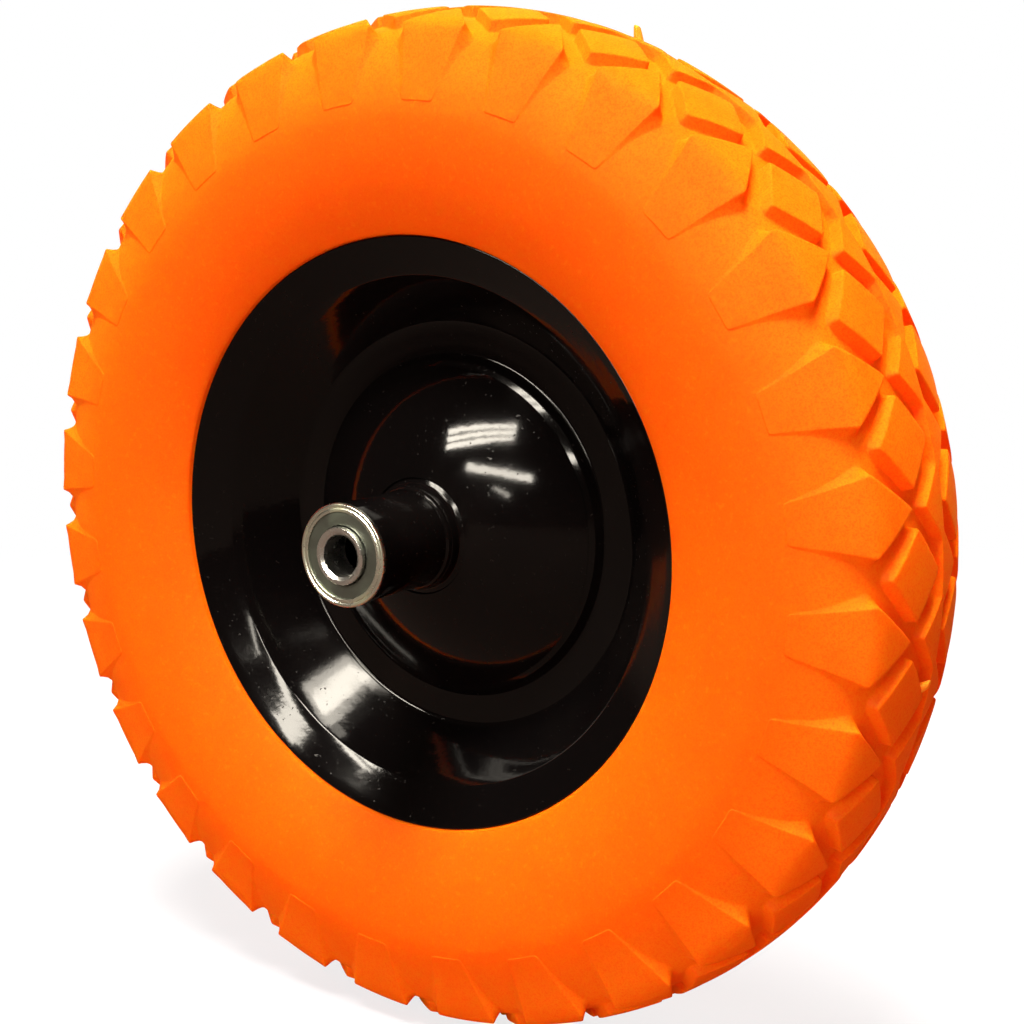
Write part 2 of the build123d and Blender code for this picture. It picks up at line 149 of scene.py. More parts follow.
class Sheet:
    """Node sheet of one material or world."""

    def __init__(self, tree: bpy.types.NodeTree) -> None:
        """Empties the tree that will hold the nodes."""
        self.tree = tree
        tree.nodes.clear()

    def node(self, kind: str, settings: dict, values: dict) -> bpy.types.Node:
        """Adds any node.

        Args:
            kind: the node's type.
            settings: its properties, set first.
            values: numbers, colours or Signals for its inputs, by name or index.

        Returns:
            The node.
        """
        node = self.tree.nodes.new(kind)
        for name, value in settings.items():
            setattr(node, name, value)
        for key, value in values.items():
            if isinstance(value, Signal):
                self.tree.links.new(value.socket, node.inputs[key])
            else:
                node.inputs[key].default_value = value
        return node

    def add(self, kind: str, settings: dict, values: dict, output: str | int = 0) -> Signal:
        """Adds any node and gives one of its outputs.

        Args:
            kind: the node's type.
            settings: its properties.
            values: its input values or Signals.
            output: which output is wanted.

        Returns:
            The output as a Signal.
        """
        return Signal(self, self.node(kind, settings, values).outputs[output])

    def place(self) -> Signal:
        """Object coordinates, in metres of the wheel's own frame."""
        return self.add("ShaderNodeTexCoord", {}, {}, "Object")

    def noise(self, place: Signal, scale: float, detail: float, rough: float) -> Signal:
        """Smooth noise over a place.

        Args:
            place: the coordinates.
            scale: waves in a metre.
            detail: layers of finer noise.
            rough: strength of the finer layers.

        Returns:
            The noise, around one half.
        """
        values = {"Vector": place, "Scale": scale, "Detail": detail, "Roughness": rough}
        return self.add("ShaderNodeTexNoise", {"noise_dimensions": "3D"}, values, "Fac")

    def blend(self, share: Signal | float, a: Signal | Colour, b: Signal | Colour) -> Signal:
        """Mixes two colours.

        Args:
            share: how much of the second colour.
            a: the first colour.
            b: the second colour.

        Returns:
            The mixed colour.
        """
        node = self.node("ShaderNodeMix", {"data_type": "RGBA"}, {})
        for index, value in ((0, share), (6, a), (7, b)):
            if isinstance(value, Signal):
                self.tree.links.new(value.socket, node.inputs[index])
            else:
                node.inputs[index].default_value = value
        return Signal(self, node.outputs[2])

    def bump(self, height: Signal, depth: float, strength: float) -> Signal:
        """Normal that follows a height.

        Args:
            height: the height, 0 to 1.
            depth: the height's full depth in metres.
            strength: how much of it shows.

        Returns:
            The bent normal.
        """
        values = {"Strength": strength, "Distance": depth, "Height": height}
        return self.add("ShaderNodeBump", {}, values)

    def radius(self, place: Signal) -> Signal:
        """Distance of a place from the axle line, in metres.

        Args:
            place: the coordinates.

        Returns:
            The distance.
        """
        parts = self.node("ShaderNodeSeparateXYZ", {}, {"Vector": place})
        across = Signal(self, parts.outputs[0])
        up = Signal(self, parts.outputs[2])
        return (across * across + up * up).power(0.5)

    def distance(self, place: Signal) -> Signal:
        """Distance of a place from the object's origin, in metres."""
        return self.add("ShaderNodeVectorMath", {"operation": "LENGTH"}, {0: place}, "Value")

    def part(self, place: Signal, axis: int) -> Signal:
        """One coordinate of a place."""
        return self.add("ShaderNodeSeparateXYZ", {}, {"Vector": place}, axis)


def rgb(red: float, green: float, blue: float) -> Colour:
    """Linear colour with full alpha."""
    return (red, green, blue, 1.0)


@dataclass(frozen=True)
class Finish:
    """Finish of one material; each kind writes its own nodes."""

    name: str
    slot: str

    def material(self) -> bpy.types.Material:
        """Makes the material, or gives the one already made.

        Returns:
            The material.
        """
        found = bpy.data.materials.get(self.name)
        if found:
            return found
        made = bpy.data.materials.new(self.name)
        made.use_nodes = True
        sheet = Sheet(made.node_tree)
        shader = sheet.node("ShaderNodeBsdfPrincipled", {}, self.shader_values(sheet))
        out = sheet.node("ShaderNodeOutputMaterial", {}, {})
        sheet.tree.links.new(shader.outputs[0], out.inputs["Surface"])
        return made

    def shader_values(self, sheet: Sheet) -> dict:
        """Values and Signals of the shader's sockets."""
        raise NotImplementedError

    def dress(self, piece: bpy.types.Object) -> None:
        """Gives a piece this finish alone.

        Args:
            piece: a mesh object, a CAD node among them.
        """
        piece.data.materials.clear()
        piece.data.materials.append(self.material())


@dataclass(frozen=True)
class FoamFinish(Finish):
    """Matte moulded foam skin, orange, with fine grain and faint mottling; its tread crown is painted paler,
    which is painted light standing in for the top light on the tread.
    """

    base: Colour = rgb(1.0, 0.145, 0.0012)
    deep: Colour = rgb(0.98, 0.105, 0.0005)
    pale: Colour = rgb(1.0, 0.180, 0.0030)
    # painted light: paler colour of the tread crown, standing in for the top light falling on the tread
    crown: Colour = rgb(1.0, 0.198, 0.0036)
    glow_depth: float = 0.006
    glow_reach: Triple = (1.0, 0.08, 0.02)
    mottle_waves: float = 46.0
    grain_waves: float = 1300.0
    skin_waves: float = 520.0
    crown_span: Point = (0.158, 0.186)
    skin_depth: float = 0.00016

    def shader_values(self, sheet: Sheet) -> dict:
        """Values and Signals of the shader's sockets.

        Args:
            sheet: the material's node sheet.

        Returns:
            The sockets' names with their values.
        """
        place = sheet.place()
        mottle = sheet.noise(place, self.mottle_waves, 5.0, 0.65)
        grain = sheet.noise(place, self.grain_waves, 2.0, 0.7)
        skin = sheet.noise(place, self.skin_waves, 3.0, 0.6)
        # painted light: the tread crown fades to the paler crown colour, standing in for the top light on
        # the tread
        outward = sheet.radius(place).step(*self.crown_span)
        colour = sheet.blend(outward, self.base, self.crown)
        colour = sheet.blend(mottle.step(0.40, 0.70) * 0.30, colour, self.deep)
        colour = sheet.blend(grain.step(0.40, 0.72) * 0.75, colour, self.deep)
        colour = sheet.blend(skin.step(0.56, 0.72) * 0.75, colour, self.pale)
        return {
            "Base Color": colour,
            "Roughness": 0.60 + grain * 0.16,
            "IOR": 1.42,
            "Specular IOR Level": 0.05,
            "Subsurface Weight": 0.5,
            "Subsurface Radius": self.glow_reach,
            "Subsurface Scale": self.glow_depth,
            "Normal": sheet.bump(grain * 0.4 + skin * 0.6, self.skin_depth, 0.5),
        }


@dataclass(frozen=True)
class EnamelFinish(Finish):
    """Gloss black enamel with a slightly wavy film and dust specks."""

    base: Colour = rgb(0.0022, 0.0017, 0.0016)
    dust: Colour = rgb(0.012, 0.009, 0.007)
    wave_waves: float = 34.0
    peel_waves: float = 260.0
    film_waves: float = 12.0
    speck_waves: float = 700.0
    film_depth: float = 0.00035

    def shader_values(self, sheet: Sheet) -> dict:
        """Values and Signals of the shader's sockets.

        Args:
            sheet: the material's node sheet.

        Returns:
            The sockets' names with their values.
        """
        place = sheet.place()
        wave = sheet.noise(place, self.wave_waves, 2.0, 0.5)
        peel = sheet.noise(place, self.peel_waves, 2.0, 0.5)
        film = sheet.noise(place, self.film_waves, 4.0, 0.6)
        specks = sheet.noise(place, self.speck_waves, 1.0, 0.5).step(0.70, 0.76)
        colour = sheet.blend(film.step(0.5, 0.8) * 0.25 + specks * 0.4, self.base, self.dust)
        return {
            "Base Color": colour,
            "Roughness": 0.07 + film.step(0.4, 0.8) * 0.06 + specks * 0.2,
            "IOR": 1.45,
            "Specular IOR Level": 0.20,
            "Normal": sheet.bump(wave * 0.8 + peel * 0.2, self.film_depth, 0.30),
        }


@dataclass(frozen=True)
class ZincFinish(Finish):
    """Bright zinc plate with a faint yellow green cast and fine turning marks."""

    base: Colour = rgb(0.70, 0.72, 0.63)
    cast: Colour = rgb(0.60, 0.62, 0.40)
    stain: Colour = rgb(0.33, 0.34, 0.28)
    rough: float = 0.24
    cloud_waves: float = 90.0
    fine_waves: float = 900.0
    ring_waves: float = 26000.0
    ring_depth: float = 0.00003

    def shader_values(self, sheet: Sheet) -> dict:
        """Values and Signals of the shader's sockets.

        Args:
            sheet: the material's node sheet.

        Returns:
            The sockets' names with their values.
        """
        place = sheet.place()
        cloud = sheet.noise(place, self.cloud_waves, 4.0, 0.6)
        fine = sheet.noise(place, self.fine_waves, 3.0, 0.6)
        rings = (sheet.radius(place) * self.ring_waves).sine()
        colour = sheet.blend(cloud.step(0.45, 0.7) * 0.6, self.base, self.cast)
        colour = sheet.blend(fine.step(0.6, 0.8) * 0.5, colour, self.stain)
        return {
            "Base Color": colour,
            "Metallic": 1.0,
            "Roughness": self.rough + cloud.step(0.4, 0.8) * 0.18,
            "Normal": sheet.bump(rings * 0.25 + fine, self.ring_depth, 0.4),
        }


@dataclass(frozen=True)
class SteelFinish(Finish):
    """Bare turned or pressed steel with light tool marks."""

    base: Colour = rgb(0.62, 0.61, 0.58)
    dull: Colour = rgb(0.36, 0.35, 0.33)
    rough: float = 0.2
    marks: float = 0.3
    cloud_waves: float = 140.0
    turning_waves: float = 21000.0
    turning_depth: float = 0.00002

    def shader_values(self, sheet: Sheet) -> dict:
        """Values and Signals of the shader's sockets.

        Args:
            sheet: the material's node sheet.

        Returns:
            The sockets' names with their values.
        """
        place = sheet.place()
        cloud = sheet.noise(place, self.cloud_waves, 3.0, 0.6)
        turning = ((sheet.part(place, 1) + sheet.radius(place)) * self.turning_waves).sine()
        colour = sheet.blend(cloud.step(0.5, 0.75) * 0.7, self.base, self.dull)
        return {
            "Base Color": colour,
            "Metallic": 1.0,
            "Roughness": self.rough + cloud * 0.14,
            "Normal": sheet.bump(turning * self.marks + cloud, self.turning_depth, 0.4),
        }


FOAM = FoamFinish("orange_foam", "foam")
THIN = rgb(1.0, 0.34, 0.02)
THIN_FOAM = FoamFinish("thin_foam", "foam", THIN, THIN, THIN, THIN)
ENAMEL = EnamelFinish("black_enamel", "black_paint")
ZINC = ZincFinish("zinc_plate", "zinc")
# painted shade: the dust washer gets a much darker copy of the zinc plate, standing in for the dim
# reflections on its face
PAINTED_SHADE_WASHER_ZINC = ZincFinish(
    "washer_zinc",
    "zinc",
    base=rgb(0.16, 0.175, 0.15),
    cast=rgb(0.13, 0.15, 0.11),
    stain=rgb(0.07, 0.08, 0.06),
    rough=0.36,
)
RACE_STEEL = SteelFinish("race_steel_turned", "race_steel")
BALL_STEEL = SteelFinish(
    "ball_steel_polished",
    "ball_steel",
    base=rgb(0.8, 0.8, 0.8),
    dull=rgb(0.6, 0.6, 0.6),
    rough=0.05,
    marks=0.0,
)
CAGE_STEEL = SteelFinish(
    "cage_steel_pressed",
    "cage_steel",
    base=rgb(0.5, 0.5, 0.48),
    dull=rgb(0.3, 0.3, 0.29),
    rough=0.3,
    marks=0.15,
)


# Turned pieces


def new_object(name: str, vertices: Sequence, faces: Sequence, smooth: bool = True) -> bpy.types.Object:
    """Makes a mesh object at the origin.

    Args:
        name: the piece's name.
        vertices: its points in metres.
        faces: the corners of its faces.
        smooth: whether it is shaded smooth.

    Returns:
        The object, in the scene.
    """
    mesh = bpy.data.meshes.new(name)
    mesh.from_pydata([tuple(v) for v in vertices], [], [tuple(f) for f in faces])
    mesh.validate()
    if smooth:
        mesh.shade_smooth()
    made = bpy.data.objects.new(name, mesh)
    bpy.context.scene.collection.objects.link(made)
    return made


def rounded_path(corners: Sequence[Corner], step_deg: float = 9.0) -> list[Point]:
    """Closed outline with its corners rounded by arcs.

    Args:
        corners: (radius, y, rounding) of each corner, in order.
        step_deg: how much each arc step turns.

    Returns:
        The points of the outline.
    """
    points: list[Point] = []
    count = len(corners)
    for index, (radius, y, rounding) in enumerate(corners):
        here = Vector((radius, y))
        back = (Vector(corners[index - 1][:2]) - here).normalized()
        ahead = (Vector(corners[(index + 1) % count][:2]) - here).normalized()
        turn = math.pi - math.acos(max(-1.0, min(1.0, back.dot(ahead))))
        if rounding <= 0.0 or turn < 0.01:
            points.append((radius, y))
            continue
        reach = rounding * math.tan(turn / 2)
        start = here + back * reach
        centre = here + (back + ahead).normalized() * (rounding / math.cos(turn / 2))
        steps = max(2, round(math.degrees(turn) / step_deg))
        sign = 1.0 if back.x * ahead.y - back.y * ahead.x < 0 else -1.0
        for i in range(steps + 1):
            arm = Matrix.Rotation(sign * turn * i / steps, 2) @ (start - centre)
            points.append(tuple(centre + arm))
    return points


def filled(points: Sequence[Point], longest: float) -> list[Point]:
    """Closed outline with its long runs divided.

    Args:
        points: the outline.
        longest: the longest run that stays whole.

    Returns:
        The outline with the added points.
    """
    made: list[Point] = []
    for index, (a, b) in enumerate(points):
        c, d = points[(index + 1) % len(points)]
        pieces = max(1, math.ceil(math.hypot(c - a, d - b) / longest))
        made.extend((a + (c - a) * i / pieces, b + (d - b) * i / pieces) for i in range(pieces))
    return made


def turned(
    name: str, corners: Sequence[Corner], side: Side, segments: int, longest: float
) -> bpy.types.Object:
    """Ring turned about the axle from its section.

    Args:
        name: the piece's name.
        corners: (radius, y outward, rounding) in mm, the section's corners in order.
        side: the face of the wheel it belongs to.
        segments: faces round the ring.
        longest: the longest straight run of the section, in mm.

    Returns:
        The piece.
    """
    outline = filled(rounded_path(corners), longest)
    vertices = []
    for i in range(segments):
        angle = 2 * math.pi * i / segments
        c, s = math.cos(angle), math.sin(angle)
        vertices.extend((r * s * MM, side.value * y * MM, r * c * MM) for r, y in outline)
    n = len(outline)
    faces = []
    for i in range(segments):
        j = (i + 1) % segments
        for k in range(n):
            m = (k + 1) % n
            faces.append((i * n + k, j * n + k, j * n + m, i * n + m))
    made = new_object(name, vertices, faces)
    point_outward(made)
    made.data.set_sharp_from_angle(angle=SHARP_EDGE)
    return made


def point_outward(piece: bpy.types.Object) -> None:
    """Turns every face of a closed piece outward.

    Args:
        piece: the piece, whose mesh is changed.
    """
    mesh = bmesh.new()
    mesh.from_mesh(piece.data)
    bmesh.ops.remove_doubles(mesh, verts=mesh.verts, dist=WELD_DISTANCE)
    bmesh.ops.recalc_face_normals(mesh, faces=mesh.faces)
    mesh.to_mesh(piece.data)
    mesh.free()


def fit(piece: bpy.types.Object, finish: Finish, body: str, node: str | None = None) -> None:
    """Dresses a finished piece, hangs it on its body and lets it stand for its CAD node.

    Args:
        piece: the piece.
        finish: its finish.
        body: the body that it rides on.
        node: the CAD node that it stands for, if there is one.
    """
    finish.dress(piece)
    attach(piece, body)
    if node:
        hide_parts(node)
    log.info("%s: %d faces", piece.name, len(piece.data.polygons))


# Tyre


@dataclass
class TyreSection:
    """Section of the tyre across the tread and down the sidewall, in mm."""

    radius: float
    shoulder_y: float = 36.0
    shoulder_drop: float = 8.3
    depth: float = 4.3
    end_radius: float = 165.0
    end_y: float = 43.6
    end_step: float = 0.3
    floor_edge_y: float = 29.5
    floor_fullness: float = 1.5
    bulge_radius: float = 158.0
    bulge_y: float = 44.5
    bulge_power: float = 2.2
    lip_radius: float = 116.3
    lip_y: float = 34.6
    lip_rise: float = 0.6
    lip_roll: float = 1.4
    lip_edge: Point = (0.3, 0.45)
    seat_drop: float = 2.4
    channel_shelf: Point = (14.2, 10.3)
    channel_radius: float = 82.8
    crease_round: float = 0.225
    crease_reach: float = 2.0

    def crown(self, y: np.ndarray | float, depth: float = 0.0) -> np.ndarray | float:
        """Radius of the crown at a place across it, less a depth."""
        arc = (self.shoulder_y ** 2 + self.shoulder_drop ** 2) / (2 * self.shoulder_drop)
        return self.radius - arc + np.sqrt((arc - depth) ** 2 - np.square(y))

    @property
    def corner(self) -> Point:
        """Place where the crown breaks into the block's side."""
        return (float(self.crown(self.shoulder_y)), self.shoulder_y)

    @property
    def block_end(self) -> float:
        """Run along the section to the end of the shoulder blocks."""
        radius, y = self.corner
        return self.shoulder_y + math.hypot(radius - self.end_radius, self.end_y + self.end_step - y)

    def side_path(self) -> np.ndarray:
        """Sidewall from the block end to the lip, and the hidden channel behind the rim.

        Returns:
            Rows of radius and y, in mm.
        """
        outer = np.linspace(self.end_radius, self.bulge_radius, 4)
        inner = np.linspace(self.bulge_radius, self.lip_radius + self.lip_roll, 16)[1:]
        wall = [(r, self._bulge(r)) for r in np.concatenate([outer, inner])]
        channel = [
            (self.lip_radius + self.lip_edge[0], self.lip_y + self.lip_edge[1]),
            (self.lip_radius, self.lip_y),
            (self.lip_radius, self.lip_y - self.seat_drop),
            (self.lip_radius - self.channel_shelf[0], self.lip_y - self.channel_shelf[1]),
            (self.channel_radius, 0.0),
        ]
        return np.array(wall + channel)

    def _bulge(self, radius: float) -> float:
        """Half width of the sidewall at a radius.

        Args:
            radius: the radius in mm.

        Returns:
            The half width in mm.
        """
        if radius > self.bulge_radius:
            share = (radius - self.bulge_radius) / (self.end_radius - self.bulge_radius)
            return self.bulge_y - (self.bulge_y - self.end_y) * share ** 2
        share = (self.bulge_radius - radius) / (self.bulge_radius - self.lip_radius)
        return self.bulge_y - (self.bulge_y - self.lip_y - self.lip_rise) * share ** self.bulge_power

    def side_rows(self) -> np.ndarray:
        """Runs along the section at which the sidewall path has its points.

        Returns:
            The runs in mm, the block end first.
        """
        path = self.side_path()
        lengths = np.hypot(*np.diff(path, axis=0).T)
        return self.block_end + np.concatenate([[0.0], np.cumsum(lengths)])

    def place(self, run: np.ndarray, height: np.ndarray) -> tuple[np.ndarray, np.ndarray]:
        """Radius and y of places on the tread.

        Args:
            run: runs along the section from the middle.
            height: 1 on the block tops, 0 on the groove floors.

        Returns:
            Radii and y values.
        """
        top = self._top(run)
        floor = self._floor(run)
        return floor[0] + height * (top[0] - floor[0]), floor[1] + height * (top[1] - floor[1])

    def _side(self, run: np.ndarray) -> tuple[np.ndarray, np.ndarray]:
        """Sidewall radius and y at runs past the block end.

        Args:
            run: runs along the section, in mm.

        Returns:
            Radii and y values.
        """
        path = self.side_path()
        rows = self.side_rows()
        return np.interp(run, rows, path[:, 0]), np.interp(run, rows, path[:, 1])

    def _top(self, run: np.ndarray) -> tuple[np.ndarray, np.ndarray]:
        """Radius and y of the block tops.

        Args:
            run: runs along the section, in mm.

        Returns:
            Radii and y values.
        """
        on_crown = np.minimum(run, self.shoulder_y)
        share = np.clip((run - self.shoulder_y) / (self.block_end - self.shoulder_y), 0, 1)
        radius, y = self.corner
        r = self.crown(on_crown) + share * (self.end_radius - radius)
        y_top = on_crown + share * (self.end_y + self.end_step - y)
        near_crease = np.clip(1 - np.abs(run - self.shoulder_y) / self.crease_reach, 0, 1) ** 2
        r = r - self.crease_round * near_crease
        y_top = y_top - self.crease_round * near_crease
        side = self._side(run)
        past = run > self.block_end
        return np.where(past, side[0], r), np.where(past, side[1] + self.end_step, y_top)

    def _floor(self, run: np.ndarray) -> tuple[np.ndarray, np.ndarray]:
        """Radius and y of the groove floors and of the sidewall beyond them.

        Args:
            run: runs along the section, in mm.

        Returns:
            Radii and y values.
        """
        edge = self.floor_edge_y
        on_crown = np.minimum(run, edge)
        t = np.clip((run - edge) / (self.block_end - edge), 0, 1)
        a = np.array([self.crown(edge, self.depth), edge])
        b = np.array([self.crown(self.shoulder_y, self.depth), self.shoulder_y + self.floor_fullness])
        c = np.array([self.end_radius, self.end_y])
        bent = [(1 - t) ** 2 * a[i] + 2 * t * (1 - t) * b[i] + t ** 2 * c[i] for i in (0, 1)]
        side = self._side(run)
        on = run <= edge
        past = run > self.block_end
        r = np.where(on, self.crown(on_crown, self.depth), bent[0])
        y = np.where(on, on_crown, bent[1])
        return np.where(past, side[0], r), np.where(past, side[1], y)


@dataclass
class BlockEdge:
    """Half of a block's edge between two lines of symmetry, top and foot, in mm on the unrolled tread."""

    top: list[Point]
    foot: list[Point]
    counts: list[int]
    inset: float = 1.1
    rounding: float = 0.9

    def levels(self, depth_round: float) -> list[tuple[np.ndarray, float]]:
        """Loops from the flat top, over the rounded edge and down the wall to the floor.

        Args:
            depth_round: share of the height that the rounding of the top edge takes.

        Returns:
            Pairs of points and their height share.
        """
        top = self.top
        foot = self.foot
        # plan outline, height share and rounding of each loop
        plan = [
            (self._moved(top, -self.inset), 1.0, self.rounding * 0.6),
            (self._moved(top, -self.inset * 0.36), 1.0, self.rounding * 0.8),
            (self._moved(top, -self.inset * 0.10), 1.0 - depth_round * 0.28, self.rounding),
            (self._between(top, foot, 0.05), 1.0 - depth_round, self.rounding),
            (self._between(top, foot, 0.86), 0.14, self.rounding * 1.8),
            (self._moved(foot, 0.12), 0.035, self.rounding * 2.2),
            (self._moved(foot, 0.55), 0.0, self.rounding * 2.6),
        ]
        return [(self._sampled(corners, rounding), height) for corners, height, rounding in plan]

    @staticmethod
    def _between(a: list[Point], b: list[Point], share: float) -> list[Point]:
        """Corners part of the way from one outline to another."""
        return [(p[0] + (q[0] - p[0]) * share, p[1] + (q[1] - p[1]) * share) for p, q in zip(a, b)]

    @staticmethod
    def _with_mirrors(chain: list[Point]) -> list[Point]:
        """The chain with the mirrored neighbour of each end added.

        Args:
            chain: corners between two lines of symmetry.

        Returns:
            The longer chain.
        """
        first = (2 * chain[0][0] - chain[1][0], chain[1][1])
        last = (2 * chain[-1][0] - chain[-2][0], chain[-2][1])
        return [first] + chain + [last]

    def _moved(self, chain: list[Point], distance: float) -> list[Point]:
        """The chain moved to its right hand side, away from the block.

        Args:
            chain: its corners.
            distance: how far it moves, in mm.

        Returns:
            The moved corners.
        """
        whole = [Vector(p) for p in self._with_mirrors(chain)]
        made = []
        for before, here, after in zip(whole, whole[1:], whole[2:]):
            u = (here - before).normalized()
            v = (after - here).normalized()
            n = Vector((u.y, -u.x))
            m = Vector((v.y, -v.x))
            moved = here + (n + m) * (distance / (1 + n.dot(m)))
            made.append((moved.x, moved.y))
        return made

    def _sampled(self, chain: list[Point], rounding: float) -> np.ndarray:
        """Points along the chain, with its corners rounded in plan.

        Args:
            chain: its corners.
            rounding: their rounding, in mm.

        Returns:
            Rows of x and run.
        """
        whole = [Vector(p) for p in self._with_mirrors(chain)]
        last = len(chain) - 1
        points: list[Vector] = []
        for i in range(len(chain)):
            before, here, after = whole[i], whole[i + 1], whole[i + 2]
            back = (before - here).normalized()
            ahead = (after - here).normalized()
            reach = self._reach(before, here, after, rounding)
            shares = (0.0, 0.5, 1.0)
            if i == 0:
                shares = (0.5, 1.0)
            elif i == last:
                shares = (0.0, 0.5)
            for t in shares:
                a = here + back * reach
                b = here + ahead * reach
                points.append(a * (1 - t) ** 2 + here * (2 * t * (1 - t)) + b * t ** 2)
            if i < last:
                points.extend(self._run(points[-1], whole, i, rounding))
        made = np.array([(p.x, p.y) for p in points])
        made[0, 0] = chain[0][0]
        made[-1, 0] = chain[-1][0]
        return made

    def _run(self, start: Vector, whole: list[Vector], i: int, rounding: float) -> list[Vector]:
        """Points of one straight run between two rounded corners.

        Args:
            start: where the run starts.
            whole: the chain with its mirrored neighbours.
            i: which run of the chain it is.
            rounding: rounding of the corner that ends the run, in mm.

        Returns:
            Its points, without the ends.
        """
        here, after, beyond = whole[i + 1:i + 4]
        end = after + (here - after).normalized() * self._reach(here, after, beyond, rounding)
        return [start.lerp(end, k / self.counts[i]) for k in range(1, self.counts[i])]

    @staticmethod
    def _reach(before: Vector, here: Vector, after: Vector, rounding: float) -> float:
        """How far a corner's rounding reaches, less than half of its shorter neighbour."""
        return min(rounding, 0.4 * (after - here).length, 0.4 * (before - here).length)


@dataclass
class Tyre:
    """Solid foam tyre whose tread is one quarter pitch repeated by rule."""

    section: TyreSection
    pitches: int = 28
    start_deg: float = 4.6
    mm_per_deg: float = 3.325
    shoulder_apex: float = 19.4
    shoulder_corner: float = 13.8
    shoulder_end: float = 8.0
    shoulder_spread: Point = (17.6, 40.5)
    diamond_half: float = 15.3
    diamond_inner: float = 4.2
    diamond_outer: float = 30.8
    rib_peak: float = 12.2
    rib_half: float = 12.8
    rib_core: float = 0.9
    wall_spread: float = 0.75
    edge_round: float = 0.13
    apex_spread: float = 1.2
    corner_spread: Point = (1.3, 0.2)
    end_spread: Point = (0.35, 0.3)
    grid: float = 4.4
    grid_squash: float = 0.87
    border_space: float = 1.1
    inner_space: float = 1.7
    merge_distance: float = 0.00002

    @property
    def half_pitch(self) -> float:
        """Half a pitch on the unrolled tread, in mm."""
        return 180.0 / self.pitches * self.mm_per_deg

    def edges(self) -> list[BlockEdge]:
        """Edges of the shoulder block, the diamond block and the middle rib in one quarter."""
        return [self._shoulder_edge(), self._diamond_edge(), self._rib_edge()]

    def _shoulder_edge(self) -> BlockEdge:
        """Edge of half a shoulder block, from its point to the middle of its end.

        Returns:
            The edge.
        """
        corner_y = self.section.shoulder_y
        end = self.section.block_end
        spread_x, spread_y = self.shoulder_spread
        share = (spread_y - corner_y) / (end - corner_y)
        side_x = self.shoulder_corner + share * (self.shoulder_end - self.shoulder_corner)
        top = [
            (0.0, self.shoulder_apex),
            (self.shoulder_corner, corner_y),
            (side_x, spread_y),
            (self.shoulder_end, end),
            (0.0, end),
        ]
        foot = [
            (0.0, self.shoulder_apex - self.apex_spread * self.wall_spread),
            (self.shoulder_corner + self.corner_spread[0], corner_y - self.corner_spread[1]),
            (spread_x, spread_y),
            (self.shoulder_end + self.end_spread[0], end + self.end_spread[1]),
            (0.0, end + self.end_spread[1]),
        ]
        return BlockEdge(top, foot, counts=[9, 2, 11, 4])

    def _diamond_edge(self) -> BlockEdge:
        """Edge of half a diamond block, from its outer to its inner point.

        Returns:
            The edge.
        """
        middle = 0.5 * (self.diamond_inner + self.diamond_outer)
        top = [
            (self.half_pitch, self.diamond_outer),
            (self.half_pitch - self.diamond_half, middle),
            (self.half_pitch, self.diamond_inner),
        ]
        edge = BlockEdge(top, top, counts=[9, 9])
        edge.foot = edge._moved(top, self.wall_spread)
        return edge

    def _rib_edge(self) -> BlockEdge:
        """Edge of the middle rib, from its valley to its peak.

        Returns:
            The edge.
        """
        foot_x = self.rib_half * (1 - self.rib_core / self.rib_peak)
        top = [(self.half_pitch, self.rib_core), (foot_x, self.rib_core), (0.0, self.rib_peak)]
        edge = BlockEdge(top, top, counts=[4, 8], inset=0.6)
        edge.foot = edge._moved(top, self.wall_spread)
        return edge

    def quarter(self) -> bpy.types.Object:
        """Mesh of one quarter pitch: half a pitch wide, from the middle to the far end of the section.

        Returns:
            The mesh object.
        """
        points: list[Triple] = []
        lines: list[tuple[int, int]] = []
        for edge in self.edges():
            for loop, height in edge.levels(self.edge_round):
                start = len(points)
                points.extend((x, w, height) for x, w in loop)
                lines.extend((start + i, start + i + 1) for i in range(len(loop) - 1))
        points.extend(self._fill_points(np.array(points)))
        flat = [Vector((x, w)) for x, w, _ in points]
        result = delaunay_2d_cdt(flat, lines, [], 0, 1e-5, True)
        origins = result[3]
        heights = [points[ids[0]][2] if ids else 0.0 for ids in origins]
        return self._lifted(result[0], heights, result[2])

    def _fill_points(self, taken: np.ndarray) -> list[Triple]:
        """Points between the edges: the cell's borders, the flat tops and floors, and the sidewall rows.

        Args:
            taken: the edges' own points.

        Returns:
            Points of x, run and height share.
        """
        rows = self.section.side_rows()
        half = self.half_pitch
        columns = np.linspace(0.0, half, 6)
        made: list[Triple] = []
        tops = self._top_outlines()
        gap = self.grid * self.grid_squash
        for w in np.arange(0.0, self.section.block_end - 1.0, gap):
            shift = 0.0 if round(w / gap) % 2 else 0.5
            for x in [0.0, half] + [half * (i + shift) / 5 for i in range(6)]:
                if 0.0 <= x <= half:
                    made.append((x, w, self._height_at(x, w, tops)))
        for w in rows[1:]:
            made.extend((x, w, 0.0) for x in columns)
        return [p for p in made if p[1] == 0.0 or self._is_free(p, taken)]

    def _is_free(self, point: Triple, taken: np.ndarray) -> bool:
        """Whether a point is far enough from the edges' own points.

        Args:
            point: the point.
            taken: the edges' own points.

        Returns:
            True when none of them is too near.
        """
        on_border = point[0] in (0.0, self.half_pitch)
        near = np.hypot(taken[:, 0] - point[0], taken[:, 1] - point[1]).min()
        return near > (self.border_space if on_border else self.inner_space)

    def _top_outlines(self) -> list[list[Point]]:
        """Closed outlines of the block tops that reach into the cell.

        Returns:
            The corners of each outline.
        """
        shoulder, diamond, rib = self.edges()
        return [
            [(-x, w) for x, w in reversed(shoulder.top[1:-1])] + shoulder.top,
            diamond.top + [(self.half_pitch + self.diamond_half, diamond.top[1][1])],
            [(self.half_pitch, -1.0)] + rib.top + [(0.0, -1.0)],
        ]

